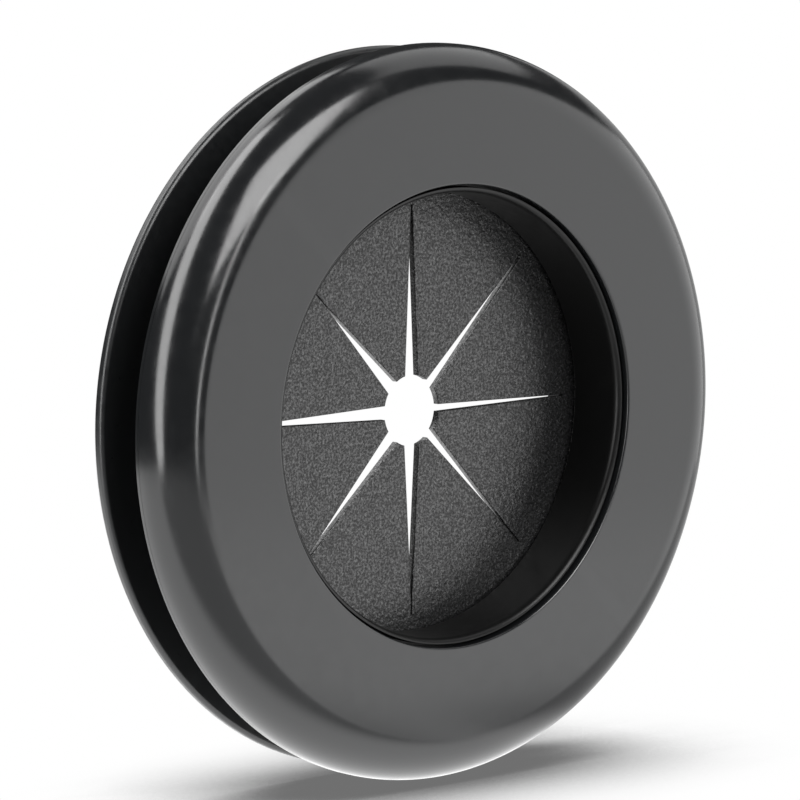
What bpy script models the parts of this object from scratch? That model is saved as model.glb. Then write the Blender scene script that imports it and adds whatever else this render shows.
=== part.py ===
"""Desk grommet with a star-slit rubber membrane, built as separate mouldings.

Everything is modelled flat, with the grommet's axis along Z, its face upwards and its seat on the
panel at Z = 0. One empty, grommet_axis, then stands the assembly on its rim: the face looks along
-Y and the panel's plane is the XZ plane.
"""

from math import acos, cos, degrees, pi, radians, sin, sqrt

import bmesh
import bpy
from mathutils import Matrix, Vector

MM = 0.001

# Fits
FIT_GAP = 0.3 * MM              # between neighbouring mouldings
HOLE_CLEARANCE = 0.3 * MM       # between the neck and the panel's hole

# Panel that the grommet goes into
PANEL_HOLE_RADIUS = 30.0 * MM
PANEL_GAP = 6.3 * MM            # front flange to rear flange

# Front bezel
FLANGE_OVERHANG = 10.0 * MM     # flange edge beyond the panel's hole
FLANGE_HEIGHT = 5.6 * MM
EDGE_LAND = 0.6 * MM            # straight side below the rounded edge
FACE_WALL = 2.0 * MM
OUTER_WALL = 2.0 * MM
SNAP_WALL = 1.6 * MM
CORE_DEPTH = 2.2 * MM
BORE_EASE = 0.25 * MM

# Barrel, from its throat outwards
BARREL_BUILD_UP = 5.65 * MM     # throat to neck
LIP_WALL = 0.65 * MM
LIP_ROUND_HEIGHT = 0.9 * MM
LIP_SETBACK = 0.65 * MM         # lip below the bezel's face
COLLAR_WALL = 2.15 * MM
NECK_WALL = 1.8 * MM
LEDGE_WALL = 1.1 * MM           # ledge that the membrane's rim is pressed against
REBATE_WALL = 3.1 * MM
BARREL_FLANGE_WIDTH = 3.9 * MM
BARREL_FLANGE_HEIGHT = 1.7 * MM
SNAP_BEAD = 0.6 * MM
SNAP_BEAD_HEIGHT = 0.8 * MM
SEAT_STEP = 1.5 * MM            # neck down to the locking ring's seat
LUG_HEIGHT = 1.0 * MM
BARREL_END = 0.2 * MM           # barrel behind its lugs
LUG_COUNT = 4
LUG_HALF_ANGLE = radians(11.0)
FIRST_LUG_ANGLE = radians(45.0)
STOP_HEIGHT = 1.1 * MM
STOP_HALF_ANGLE = radians(3.0)
STOP_OFFSET = radians(60.0)     # stop behind its lug, round the barrel
ROOT_OVERLAP = 0.5 * MM         # lugs and stops sunk into the barrel's wall

# Membrane
MEMBRANE_DROP = 2.4 * MM        # below the panel's face
MEMBRANE_THICKNESS = 0.8 * MM
PETAL_COUNT = 8
HUB_RADIUS = 3.9 * MM
SLIT_HUB_WIDTH = 1.7 * MM
SLIT_END_WIDTH = 0.3 * MM
SLIT_MARGIN = 1.55 * MM         # slit end to the barrel's throat

# Membrane retainer
RETAINER_LENGTH = 4.2 * MM
RETAINER_WALL = 1.95 * MM
RETAINER_BEAD = 0.4 * MM
RETAINER_BEAD_HEIGHT = 0.8 * MM
RETAINER_BEAD_DROP = 2.4 * MM   # bead's top below the retainer's top
RETAINER_EASE = 0.3 * MM

# Rear locking ring
RING_OVERHANG = 9.5 * MM        # ring edge beyond the panel's hole
RING_THICKNESS = 1.4 * MM
RING_EDGE_ROUND = 0.45 * MM
RING_STEP = 0.3 * MM            # clamping land proud of the ring's inner zone
LAND_MARGIN = 0.3 * MM          # notch bottom to the clamping land
UNLOCK_TURN = radians(40.0)

# Resolution
TURN_STEPS = 96
EDGE_STEPS = 12
SMALL_ARC_STEPS = 4
SECTOR_STEP = radians(3.75)
ROOT_BEVEL_STEPS = 4
CUT_MARGIN = 1.0 * MM

# Places worked out from the sizes above
NECK_RADIUS = PANEL_HOLE_RADIUS - HOLE_CLEARANCE
THROAT_RADIUS = NECK_RADIUS - BARREL_BUILD_UP
LIP_RADIUS = THROAT_RADIUS + LIP_WALL
BORE_RADIUS = LIP_RADIUS + FIT_GAP
FLANGE_RADIUS = PANEL_HOLE_RADIUS + FLANGE_OVERHANG
EDGE_ROUND = FLANGE_HEIGHT - EDGE_LAND
BARREL_FLANGE_RADIUS = NECK_RADIUS + BARREL_FLANGE_WIDTH
BEAD_RADIUS = BARREL_FLANGE_RADIUS + SNAP_BEAD
SNAP_BEAD_BOTTOM = BARREL_FLANGE_HEIGHT - SNAP_BEAD_HEIGHT
REBATE_RADIUS = NECK_RADIUS - REBATE_WALL
SEAT_RADIUS = NECK_RADIUS - SEAT_STEP
INSERT_RADIUS = REBATE_RADIUS - FIT_GAP
MEMBRANE_TOP = -MEMBRANE_DROP
MEMBRANE_BOTTOM = MEMBRANE_TOP - MEMBRANE_THICKNESS
LEDGE_Z = MEMBRANE_TOP + FIT_GAP
RETAINER_TOP = MEMBRANE_BOTTOM - FIT_GAP
BEAD_TOP = RETAINER_TOP - RETAINER_BEAD_DROP
RING_TOP = -PANEL_GAP
RING_BOTTOM = RING_TOP - RING_THICKNESS
NECK_END = RING_TOP + FIT_GAP
LUG_TOP = RING_BOTTOM - FIT_GAP
LUG_BOTTOM = LUG_TOP - LUG_HEIGHT
RING_RADIUS = PANEL_HOLE_RADIUS + RING_OVERHANG
NOTCH_RADIUS = NECK_RADIUS + FIT_GAP
LAND_RADIUS = NOTCH_RADIUS + LAND_MARGIN
STOP_RADIUS = SEAT_RADIUS + STOP_HEIGHT
TURN_CLEARANCE = 2.0 * FIT_GAP / NECK_RADIUS
PETAL_HALF_ANGLE = pi / PETAL_COUNT
SLIT_END_RADIUS = THROAT_RADIUS - SLIT_MARGIN
HINGE_RADIUS = SLIT_END_RADIUS * cos(PETAL_HALF_ANGLE)
ROOT_ROUND = MEMBRANE_THICKNESS / 2.0

# Finishes: sRGB-linear base colour, roughness, metallic
BLACK_ABS = ((0.020, 0.021, 0.023), 0.38, 0.0)
BLACK_ABS_INNER = ((0.012, 0.012, 0.013), 0.45, 0.0)
BLACK_RUBBER = ((0.030, 0.030, 0.031), 0.65, 0.0)
BLACK_NYLON = ((0.016, 0.016, 0.017), 0.5, 0.0)


def clear_scene():
    """Remove every object and collection that the file opened with."""
    for old in list(bpy.data.objects):
        bpy.data.objects.remove(old, do_unlink=True)
    for old in list(bpy.data.collections):
        bpy.data.collections.remove(old)


def new_collection(name):
    """A collection linked to the scene."""
    collection = bpy.data.collections.new(name)
    bpy.context.scene.collection.children.link(collection)
    return collection


def finish_with(obj, finish):
    """Give an object a material of its own."""
    colour, roughness, metallic = finish
    material = bpy.data.materials.new(obj.name + "_finish")
    material.use_nodes = True
    shader = material.node_tree.nodes["Principled BSDF"]
    shader.inputs["Base Color"].default_value = (*colour, 1.0)
    shader.inputs["Roughness"].default_value = roughness
    shader.inputs["Metallic"].default_value = metallic
    obj.data.materials.clear()
    obj.data.materials.append(material)


def arc(centre, radius, start, end, steps):
    """Points on an arc, both ends included, angles in radians."""
    points = []
    for i in range(steps + 1):
        angle = start + (end - start) * i / steps
        points.append((centre[0] + radius * cos(angle), centre[1] + radius * sin(angle)))
    return points


def turned(name, profile, collection):
    """A ring turned round Z from a closed profile of (radius, height) points.

    The profile runs outwards along the top, down the outer side and back along the bottom.
    """
    mesh = bpy.data.meshes.new(name)
    count = len(profile)
    vertices = [(radius, 0.0, height) for radius, height in profile]
    edges = [(i, (i + 1) % count) for i in range(count)]
    mesh.from_pydata(vertices, edges, [])
    obj = bpy.data.objects.new(name, mesh)
    collection.objects.link(obj)
    screw = obj.modifiers.new("turn", "SCREW")
    screw.axis = "Z"
    screw.angle = 2.0 * pi
    screw.screw_offset = 0.0
    screw.steps = TURN_STEPS
    screw.render_steps = TURN_STEPS
    screw.use_merge_vertices = True
    screw.merge_threshold = 0.00001
    screw.use_smooth_shade = True
    return obj


def flat_solid(name, outlines, bottom, top, collection):
    """A plate between two heights, from closed outlines of (x, y); inner outlines are holes."""
    curve = bpy.data.curves.new(name, "CURVE")
    curve.dimensions = "2D"
    curve.fill_mode = "BOTH"
    curve.extrude = (top - bottom) / 2.0
    for outline in outlines:
        spline = curve.splines.new("POLY")
        spline.points.add(len(outline) - 1)
        for point, (x, y) in zip(spline.points, outline):
            point.co = (x, y, 0.0, 1.0)
        spline.use_cyclic_u = True
    drawn = bpy.data.objects.new(name + "_outline", curve)
    drawn.location.z = (top + bottom) / 2.0
    bpy.context.scene.collection.objects.link(drawn)
    bpy.context.view_layer.update()
    evaluated = drawn.evaluated_get(bpy.context.evaluated_depsgraph_get())
    mesh = bpy.data.meshes.new_from_object(evaluated)
    mesh.name = name
    welded = bmesh.new()
    welded.from_mesh(mesh)
    bmesh.ops.remove_doubles(welded, verts=welded.verts, dist=0.000005)
    bmesh.ops.recalc_face_normals(welded, faces=welded.faces)
    welded.to_mesh(mesh)
    welded.free()
    obj = bpy.data.objects.new(name, mesh)
    obj.matrix_world = drawn.matrix_world.copy()
    collection.objects.link(obj)
    bpy.data.objects.remove(drawn, do_unlink=True)
    return obj


def sector(name, inner, outer, centre_angle, half_angle, bottom, top, collection):
    """A plate shaped as a piece of a ring."""
    steps = max(2, round(2.0 * half_angle / SECTOR_STEP))
    low = centre_angle - half_angle
    high = centre_angle + half_angle
    outline = arc((0.0, 0.0), outer, low, high, steps) + arc((0.0, 0.0), inner, high, low, steps)
    return flat_solid(name, [outline], bottom, top, collection)


def add_boolean(obj, other, operation):
    """Cut or join another solid."""
    boolean = obj.modifiers.new(operation.lower() + "_" + other.name, "BOOLEAN")
    boolean.operation = operation
    boolean.solver = "EXACT"
    boolean.object = other


def lug_angles():
    """Directions of the barrel's lugs."""
    return [FIRST_LUG_ANGLE + 2.0 * pi * i / LUG_COUNT for i in range(LUG_COUNT)]


def stop_angles():
    """Directions of the two opposite stops."""
    lugs = lug_angles()
    return [lugs[0] - STOP_OFFSET, lugs[LUG_COUNT // 2] - STOP_OFFSET]


def make_bezel(parts):
    """Front bezel: the visible trim ring, hollow underneath, snapped over the barrel's flange."""
    face = FLANGE_HEIGHT
    plate_under = face - FACE_WALL
    lip_radius = BARREL_FLANGE_RADIUS + FIT_GAP
    undercut_radius = BEAD_RADIUS + FIT_GAP
    undercut_bottom = SNAP_BEAD_BOTTOM - FIT_GAP
    core_inner = lip_radius + SNAP_WALL
    core_outer = FLANGE_RADIUS - OUTER_WALL
    ease_centre = (BORE_RADIUS + BORE_EASE, face - BORE_EASE)
    edge_centre = (FLANGE_RADIUS - EDGE_ROUND, face - EDGE_ROUND)
    profile = arc(ease_centre, BORE_EASE, pi, pi / 2.0, SMALL_ARC_STEPS)
    profile += arc(edge_centre, EDGE_ROUND, pi / 2.0, 0.0, EDGE_STEPS)
    profile += [
        (FLANGE_RADIUS, 0.0),
        (core_outer, 0.0),
        (core_outer, CORE_DEPTH),
        (core_inner, CORE_DEPTH),
        (core_inner, 0.0),
        (lip_radius, 0.0),
        (lip_radius, undercut_bottom),
        (undercut_radius, undercut_bottom),
        (undercut_radius, plate_under),
        (BORE_RADIUS, plate_under),
    ]
    bezel = turned("front_bezel", profile, parts)
    finish_with(bezel, BLACK_ABS)
    return bezel


def make_barrel(parts, tools):
    """Barrel: throat, neck through the panel, membrane rebate, locking lugs and stops."""
    lip_top = FLANGE_HEIGHT - LIP_SETBACK
    collar_top = FLANGE_HEIGHT - FACE_WALL - FIT_GAP
    collar_radius = THROAT_RADIUS + COLLAR_WALL
    pocket_radius = NECK_RADIUS - NECK_WALL
    pocket_floor = LEDGE_Z + LEDGE_WALL
    snap_groove_radius = REBATE_RADIUS + RETAINER_BEAD
    snap_groove_top = BEAD_TOP + FIT_GAP
    snap_groove_bottom = BEAD_TOP - RETAINER_BEAD_HEIGHT - FIT_GAP
    barrel_bottom = LUG_BOTTOM - BARREL_END
    lip_round = []
    for i in range(SMALL_ARC_STEPS * 2 + 1):
        angle = pi - (pi / 2.0) * i / (SMALL_ARC_STEPS * 2)
        radius = LIP_RADIUS + LIP_WALL * cos(angle)
        lip_round.append((radius, lip_top - LIP_ROUND_HEIGHT * (1.0 - sin(angle))))
    profile = lip_round + [
        (LIP_RADIUS, collar_top),
        (collar_radius, collar_top),
        (collar_radius, pocket_floor),
        (pocket_radius, pocket_floor),
        (pocket_radius, BARREL_FLANGE_HEIGHT),
        (BEAD_RADIUS, BARREL_FLANGE_HEIGHT),
        (BEAD_RADIUS, SNAP_BEAD_BOTTOM),
        (BARREL_FLANGE_RADIUS, SNAP_BEAD_BOTTOM),
        (BARREL_FLANGE_RADIUS, 0.0),
        (NECK_RADIUS, 0.0),
        (NECK_RADIUS, NECK_END),
        (SEAT_RADIUS, NECK_END),
        (SEAT_RADIUS, barrel_bottom),
        (REBATE_RADIUS, barrel_bottom),
        (REBATE_RADIUS, snap_groove_bottom),
        (snap_groove_radius, snap_groove_bottom),
        (snap_groove_radius, snap_groove_top),
        (REBATE_RADIUS, snap_groove_top),
        (REBATE_RADIUS, LEDGE_Z),
        (THROAT_RADIUS, LEDGE_Z),
    ]
    barrel = turned("barrel", profile, parts)
    root = SEAT_RADIUS - ROOT_OVERLAP
    for i, angle in enumerate(lug_angles()):
        lug = sector(
            f"lug_{i + 1}", root, NECK_RADIUS, angle, LUG_HALF_ANGLE, LUG_BOTTOM, LUG_TOP, tools
        )
        add_boolean(barrel, lug, "UNION")
    for i, angle in enumerate(stop_angles()):
        stop = sector(
            f"stop_{i + 1}", root, STOP_RADIUS, angle, STOP_HALF_ANGLE,
            RING_BOTTOM, NECK_END + ROOT_OVERLAP, tools,
        )
        add_boolean(barrel, stop, "UNION")
    finish_with(barrel, BLACK_ABS_INNER)
    return barrel


def slit_half_width(distance):
    """Half the slit's width at a distance from the axis, tapering from hub to end."""
    share = (distance - HUB_RADIUS) / (SLIT_END_RADIUS - HUB_RADIUS)
    return (SLIT_HUB_WIDTH + (SLIT_END_WIDTH - SLIT_HUB_WIDTH) * share) / 2.0


def make_membrane_rim(parts):
    """Membrane rim: the seated edge, with one straight inner side at the root of each petal."""
    sides = HINGE_RADIUS + ROOT_ROUND + FIT_GAP
    corner = sides / cos(PETAL_HALF_ANGLE)
    outer = arc((0.0, 0.0), INSERT_RADIUS, 0.0, 2.0 * pi, TURN_STEPS)[:-1]
    inner = arc((0.0, 0.0), corner, 0.0, 2.0 * pi, PETAL_COUNT)[:-1]
    rim = flat_solid("membrane_rim", [outer, inner], MEMBRANE_BOTTOM, MEMBRANE_TOP, parts)
    finish_with(rim, BLACK_RUBBER)
    return rim


def petal_outline():
    """Half-symmetric petal outline, X outwards from the hinge line."""
    slit = Vector((cos(PETAL_HALF_ANGLE), sin(PETAL_HALF_ANGLE)))
    inwards = Vector((slit.y, -slit.x))
    half = slit_half_width(HUB_RADIUS)
    hub_corner = slit * sqrt(HUB_RADIUS ** 2 - half ** 2) + inwards * half
    end_corner = slit * SLIT_END_RADIUS + inwards * slit_half_width(SLIT_END_RADIUS)
    hub_angle = acos(hub_corner.x / HUB_RADIUS)
    hub = arc((-HINGE_RADIUS, 0.0), HUB_RADIUS, hub_angle, -hub_angle, SMALL_ARC_STEPS)
    root_y = end_corner.y
    end_x = end_corner.x - HINGE_RADIUS
    return hub + [(end_x, -root_y), (ROOT_ROUND, -root_y), (ROOT_ROUND, root_y), (end_x, root_y)]


def make_petal(number, angle, parts, stand):
    """One petal of the membrane, its origin on its hinge line, its root rounded about that line."""
    petal = flat_solid(f"petal_{number}", [petal_outline()], -ROOT_ROUND, ROOT_ROUND, parts)
    mesh = petal.data
    weights = mesh.attributes.new("bevel_weight_edge", "FLOAT", "EDGE")
    for edge in mesh.edges:
        ends = [mesh.vertices[i].co for i in edge.vertices]
        at_root = all(abs(end.x - ROOT_ROUND) < 0.01 * MM for end in ends)
        level = abs(ends[0].z - ends[1].z) < 0.01 * MM
        weights.data[edge.index].value = 1.0 if at_root and level else 0.0
    bevel = petal.modifiers.new("root_round", "BEVEL")
    bevel.limit_method = "WEIGHT"
    bevel.width = ROOT_ROUND * 0.97
    bevel.segments = ROOT_BEVEL_STEPS
    hinge = bpy.data.objects.new(f"petal_{number}_hinge", None)
    parts.objects.link(hinge)
    hinge.parent = stand
    middle = MEMBRANE_TOP - ROOT_ROUND
    hinge.location = (HINGE_RADIUS * cos(angle), HINGE_RADIUS * sin(angle), middle)
    hinge.rotation_euler = (0.0, 0.0, angle)
    petal.parent = hinge
    petal.matrix_parent_inverse = Matrix.Identity(4)
    petal.location = (0.0, 0.0, 0.0)
    finish_with(petal, BLACK_RUBBER)
    return petal


def make_retainer(parts):
    """Membrane retainer: snapped into the rebate behind the membrane's rim."""
    outer = INSERT_RADIUS
    inner = INSERT_RADIUS - RETAINER_WALL
    bottom = RETAINER_TOP - RETAINER_LENGTH
    bead_bottom = BEAD_TOP - RETAINER_BEAD_HEIGHT
    profile = [
        (inner, RETAINER_TOP),
        (outer, RETAINER_TOP),
        (outer, BEAD_TOP),
        (outer + RETAINER_BEAD, BEAD_TOP),
        (outer + RETAINER_BEAD, bead_bottom + RETAINER_BEAD),
        (outer, bead_bottom),
        (outer, bottom + RETAINER_EASE),
        (outer - RETAINER_EASE, bottom),
        (inner + RETAINER_EASE, bottom),
        (inner, bottom + RETAINER_EASE),
    ]
    retainer = turned("membrane_retainer", profile, parts)
    finish_with(retainer, BLACK_NYLON)
    return retainer


def make_locking_ring(parts, tools, stand):
    """Rear locking ring: the thin rear flange, with notches for the lugs and slots for the stops."""
    bore = SEAT_RADIUS + FIT_GAP
    low_centre = (RING_RADIUS - RING_EDGE_ROUND, RING_BOTTOM + RING_EDGE_ROUND)
    high_centre = (RING_RADIUS - RING_EDGE_ROUND, RING_TOP - RING_EDGE_ROUND)
    profile = [(bore, RING_TOP - RING_STEP), (LAND_RADIUS, RING_TOP - RING_STEP)]
    profile += [(LAND_RADIUS, RING_TOP)]
    profile += arc(high_centre, RING_EDGE_ROUND, pi / 2.0, 0.0, SMALL_ARC_STEPS)
    profile += arc(low_centre, RING_EDGE_ROUND, 0.0, -pi / 2.0, SMALL_ARC_STEPS)
    profile += [(bore, RING_BOTTOM)]
    ring = turned("rear_locking_ring", profile, parts)
    cut_bottom = RING_BOTTOM - CUT_MARGIN
    cut_top = RING_TOP + CUT_MARGIN
    cut_inner = bore - CUT_MARGIN
    cuts = []
    for i, angle in enumerate(lug_angles()):
        half = LUG_HALF_ANGLE + TURN_CLEARANCE
        cuts.append((f"notch_{i + 1}", NOTCH_RADIUS, angle - UNLOCK_TURN, half))
    for i, angle in enumerate(stop_angles()):
        half = STOP_HALF_ANGLE + TURN_CLEARANCE + UNLOCK_TURN / 2.0
        cuts.append((f"stop_slot_{i + 1}", STOP_RADIUS + FIT_GAP, angle - UNLOCK_TURN / 2.0, half))
    for name, reach, angle, half in cuts:
        cutter = sector(name, cut_inner, reach, angle, half, cut_bottom, cut_top, tools)
        cutter.parent = stand
        add_boolean(ring, cutter, "DIFFERENCE")
    finish_with(ring, BLACK_ABS)
    return ring


def main():
    """Build the grommet and stand it on its rim."""
    clear_scene()
    parts = new_collection("desk_grommet")
    tools = new_collection("cutters")
    stand = bpy.data.objects.new("grommet_axis", None)
    parts.objects.link(stand)
    stand.rotation_euler = (pi / 2.0, 0.0, 0.0)

    fixed = [make_bezel(parts), make_barrel(parts, tools), make_membrane_rim(parts)]
    fixed += [make_retainer(parts), make_locking_ring(parts, tools, stand)]
    for obj in fixed:
        obj.parent = stand
    for i in range(PETAL_COUNT):
        make_petal(i + 1, PETAL_HALF_ANGLE * (2 * i + 1), parts, stand)
    for tool in tools.objects:
        tool.parent = stand
        tool.hide_render = True
        tool.display_type = "WIRE"
    bpy.context.view_layer.update()

    for obj in parts.objects:
        if obj.type == "MESH":
            place = obj.matrix_world.translation / MM
            print(f"{obj.name}: origin {place.x:.2f}, {place.y:.2f}, {place.z:.2f} mm")
    print(f"flange {2000.0 * FLANGE_RADIUS:.1f} mm, bore {2000.0 * BORE_RADIUS:.1f} mm across")
    print(f"petal hinges {HINGE_RADIUS / MM:.3f} mm out, every {degrees(2.0 * PETAL_HALF_ANGLE):.1f} deg")


main()
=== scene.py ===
"""Looks of a desk grommet with a star-slit rubber membrane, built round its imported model.

The grommet stands on its rim and its face looks along -Y. Each moulding is turned from a profile of
its own, read as on a drawing: a radius from the grommet's axis, and a depth along +Y from the plane
where the front flange seats on the panel. The membrane is a rim and eight petals that bend from it.
"""

import logging
from collections.abc import Callable, Sequence
from dataclasses import dataclass
from enum import Enum
from math import acos, atan2, ceil, cos, pi, radians, sin, sqrt, tan

import bmesh
import bpy
import numpy as np
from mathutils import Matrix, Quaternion, Vector


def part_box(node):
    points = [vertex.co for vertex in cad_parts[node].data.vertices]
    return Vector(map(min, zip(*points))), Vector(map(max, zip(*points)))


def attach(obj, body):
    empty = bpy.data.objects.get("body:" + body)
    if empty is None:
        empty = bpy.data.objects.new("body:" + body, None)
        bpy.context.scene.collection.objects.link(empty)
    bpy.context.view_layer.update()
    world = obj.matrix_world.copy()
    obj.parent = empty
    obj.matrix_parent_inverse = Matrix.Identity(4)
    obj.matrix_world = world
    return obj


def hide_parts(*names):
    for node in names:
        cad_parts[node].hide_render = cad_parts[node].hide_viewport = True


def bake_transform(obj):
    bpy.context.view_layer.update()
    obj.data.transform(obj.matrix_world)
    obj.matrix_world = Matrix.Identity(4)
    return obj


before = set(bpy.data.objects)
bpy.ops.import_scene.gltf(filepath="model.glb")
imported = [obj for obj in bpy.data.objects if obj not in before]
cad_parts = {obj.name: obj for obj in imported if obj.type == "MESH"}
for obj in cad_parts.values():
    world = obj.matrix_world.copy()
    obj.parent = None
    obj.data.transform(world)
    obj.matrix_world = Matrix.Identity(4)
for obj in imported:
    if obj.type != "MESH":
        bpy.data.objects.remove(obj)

LOG = logging.getLogger("desk_grommet")

MM = 0.001
SHARP_EDGE = radians(38.0)
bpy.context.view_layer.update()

Piece = bpy.types.Object
Finish = bpy.types.Material
Tree = bpy.types.NodeTree
Node = bpy.types.Node
Socket = bpy.types.NodeSocket
Sockets = dict[str, Socket]
Point = tuple[float, float]


# ---------------------------------------------------------------------------------------------
# Shapes
# ---------------------------------------------------------------------------------------------


@dataclass(frozen=True)
class Corner:
    """A corner of a turned profile, in millimetres, with the radius it is eased to."""

    radius: float
    depth: float
    fillet: float = 0.0


def arc_steps(fillet: float, sweep: float, tolerance: float = 0.001) -> int:
    """Number of straight steps that keep an arc within a chord tolerance.

    Args:
        fillet: Radius of the arc, in millimetres.
        sweep: Angle that the arc covers, in radians.
        tolerance: Largest distance from chord to arc, in millimetres.

    Returns:
        The number of steps, at least four.
    """
    step = 2.0 * acos(max(0.5, 1.0 - tolerance / fillet))
    return max(4, ceil(abs(sweep) / step))


def eased_profile(corners: Sequence[Corner], support: float = 0.12) -> np.ndarray:
    """Round the corners of a closed profile.

    Args:
        corners: The profile's corners in order.
        support: Distance beyond each arc, in millimetres, of the extra point that keeps the flat
            next to it flat in shading.

    Returns:
        An array of (radius, depth) rows in metres.
    """
    places = [np.array([corner.radius, corner.depth]) for corner in corners]
    points: list[np.ndarray] = []
    for i, corner in enumerate(corners):
        here, before, after = places[i], places[i - 1], places[(i + 1) % len(places)]
        if corner.fillet <= 0.0:
            points.append(here)
            continue
        back, onward = before - here, after - here
        back_length, onward_length = np.linalg.norm(back), np.linalg.norm(onward)
        back, onward = back / back_length, onward / onward_length
        half = acos(float(np.clip(back @ onward, -1.0, 1.0))) / 2.0
        reach = corner.fillet / tan(half)
        middle = (back + onward) / np.linalg.norm(back + onward)
        centre = here + middle * corner.fillet / sin(half)
        first, last = here + back * reach, here + onward * reach
        start = atan2(*(first - centre)[::-1])
        sweep = (atan2(*(last - centre)[::-1]) - start + pi) % (2.0 * pi) - pi
        points.append(first + back * min(support, 0.15 * back_length))
        steps = arc_steps(corner.fillet, sweep)
        for k in range(steps + 1):
            angle = start + sweep * k / steps
            points.append(centre + corner.fillet * np.array([cos(angle), sin(angle)]))
        points.append(last + onward * min(support, 0.15 * onward_length))
    return np.array(points) * MM


def link(obj: Piece) -> Piece:
    """Link an object to the scene's own collection."""
    bpy.context.scene.collection.objects.link(obj)
    return obj


def solid_from(name: str, vertices: np.ndarray, faces: Sequence[Sequence[int]]) -> Piece:
    """Make a closed, smooth-shaded mesh object with its faces turned outwards.

    Args:
        name: The piece's name.
        vertices: One row of x, y and z for each vertex, in metres.
        faces: Vertex numbers of each face.

    Returns:
        The object, at the origin and linked to the scene.
    """
    mesh = bpy.data.meshes.new(name)
    mesh.from_pydata(vertices.tolist(), [], faces)
    shell = bmesh.new()
    shell.from_mesh(mesh)
    bmesh.ops.remove_doubles(shell, verts=shell.verts, dist=0.0002 * MM)
    bmesh.ops.recalc_face_normals(shell, faces=shell.faces)
    shell.to_mesh(mesh)
    shell.free()
    mesh.shade_smooth()
    mesh.set_sharp_from_angle(angle=SHARP_EDGE)
    return link(bpy.data.objects.new(name, mesh))


def closed_grid_faces(rows: int, columns: int) -> list[list[int]]:
    """Four-sided faces over a grid of vertices that closes on itself both ways.

    Args:
        rows: Number of rows in the grid.
        columns: Number of columns in the grid.

    Returns:
        The vertex numbers of each face.
    """
    index = np.arange(rows * columns).reshape(rows, columns)
    onward = np.roll(index, -1, axis=0)
    quads = np.stack([index, onward, np.roll(onward, -1, axis=1), np.roll(index, -1, axis=1)], axis=-1)
    return quads.reshape(-1, 4).tolist()


def turned(
    name: str,
    profile: np.ndarray,
    steps: int,
    radius_at: Callable[[np.ndarray, np.ndarray], np.ndarray] | None = None,
) -> Piece:
    """Turn a closed profile about the grommet's axis.

    Args:
        name: The piece's name.
        profile: Rows of (radius, depth) in metres.
        steps: Number of steps round the axis.
        radius_at: Gives the radii of the profile's points at each angle, where they change round
            the axis. It takes the radii and the angles as a column.

    Returns:
        The turned solid.
    """
    angles = (np.arange(steps) * 2.0 * pi / steps)[:, None]
    radii = np.broadcast_to(profile[:, 0], (steps, len(profile)))
    if radius_at is not None:
        radii = radius_at(radii, angles)
    depths = np.broadcast_to(profile[:, 1], radii.shape)
    vertices = np.stack([radii * np.cos(angles), depths, radii * np.sin(angles)], axis=-1)
    return solid_from(name, vertices.reshape(-1, 3), closed_grid_faces(*radii.shape))


def block(
    name: str, inner: float, outer: float, front: float, rear: float, half_width: float, ease: float
) -> Piece:
    """Make a small eased block that lies across the +X direction and follows its own circle.

    Args:
        name: The block's name.
        inner: Radius of its inner side, in millimetres.
        outer: Radius of its outer side, in millimetres.
        front: Depth of its front side, in millimetres.
        rear: Depth of its rear side, in millimetres.
        half_width: Half its width along the circle, in millimetres, measured at its outer side.
        ease: Radius of its edges, in millimetres.

    Returns:
        The block.
    """
    half_angle = half_width / outer
    columns = max(1, round(2.0 * half_angle / radians(2.0)))
    angles = [half_angle * (2.0 * k / columns - 1.0) for k in range(columns + 1)]
    section = [(inner, front), (outer, front), (outer, rear), (inner, rear)]
    vertices = [(r * cos(a), y, r * sin(a)) for a in angles for r, y in section]
    faces = [(0, 1, 2, 3), tuple(columns * 4 + k for k in (3, 2, 1, 0))]
    for column in range(columns):
        for k in range(4):
            low, next_k = column * 4, (k + 1) % 4
            faces.append((low + k, low + next_k, low + 4 + next_k, low + 4 + k))
    obj = solid_from(name, np.array(vertices) * MM, faces)
    bevel = obj.modifiers.new("ease", "BEVEL")
    bevel.width = ease * MM
    bevel.segments = 3
    bevel.limit_method = "ANGLE"
    bevel.angle_limit = radians(40.0)
    return baked(obj)


def pad(name: str, radius: float, depth: float, size: float, proud: float) -> Piece:
    """Make the round witness pad that an ejector pin leaves, on the +X side of the axis.

    Args:
        name: The pad's name.
        radius: Its distance from the axis, in millimetres.
        depth: Depth of the surface that it stands on, in millimetres.
        size: Its diameter, in millimetres.
        proud: Its height above the surface, in millimetres.

    Returns:
        The pad.
    """
    # It is rooted a little below the surface, and the edge of its top is eased.
    rows = ((size / 2.0, -0.15), (size / 2.0, 0.7 * proud), (size / 2.0 - 0.4 * proud, proud))
    sides = 28
    vertices, faces = [], []
    for reach, rise in rows:
        for k in range(sides):
            angle = 2.0 * pi * k / sides
            vertices.append((radius + reach * cos(angle), depth + rise, reach * sin(angle)))
    for row in range(len(rows) - 1):
        for k in range(sides):
            low, onward = row * sides + k, row * sides + (k + 1) % sides
            faces.append((low, onward, onward + sides, low + sides))
    faces.append(tuple(range(sides)))
    faces.append(tuple(range((len(rows) - 1) * sides, len(rows) * sides)))
    return solid_from(name, np.array(vertices) * MM, faces)


def baked(obj: Piece) -> Piece:
    """Turn an object's evaluated mesh into its own mesh, and drop its modifiers.

    Args:
        obj: The object.

    Returns:
        The same object.
    """
    bpy.context.view_layer.update()
    graph = bpy.context.evaluated_depsgraph_get()
    mesh = bpy.data.meshes.new_from_object(
        obj.evaluated_get(graph), preserve_all_data_layers=True, depsgraph=graph
    )
    obj.modifiers.clear()
    obj.data = mesh
    mesh.name = obj.name
    return obj


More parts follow.
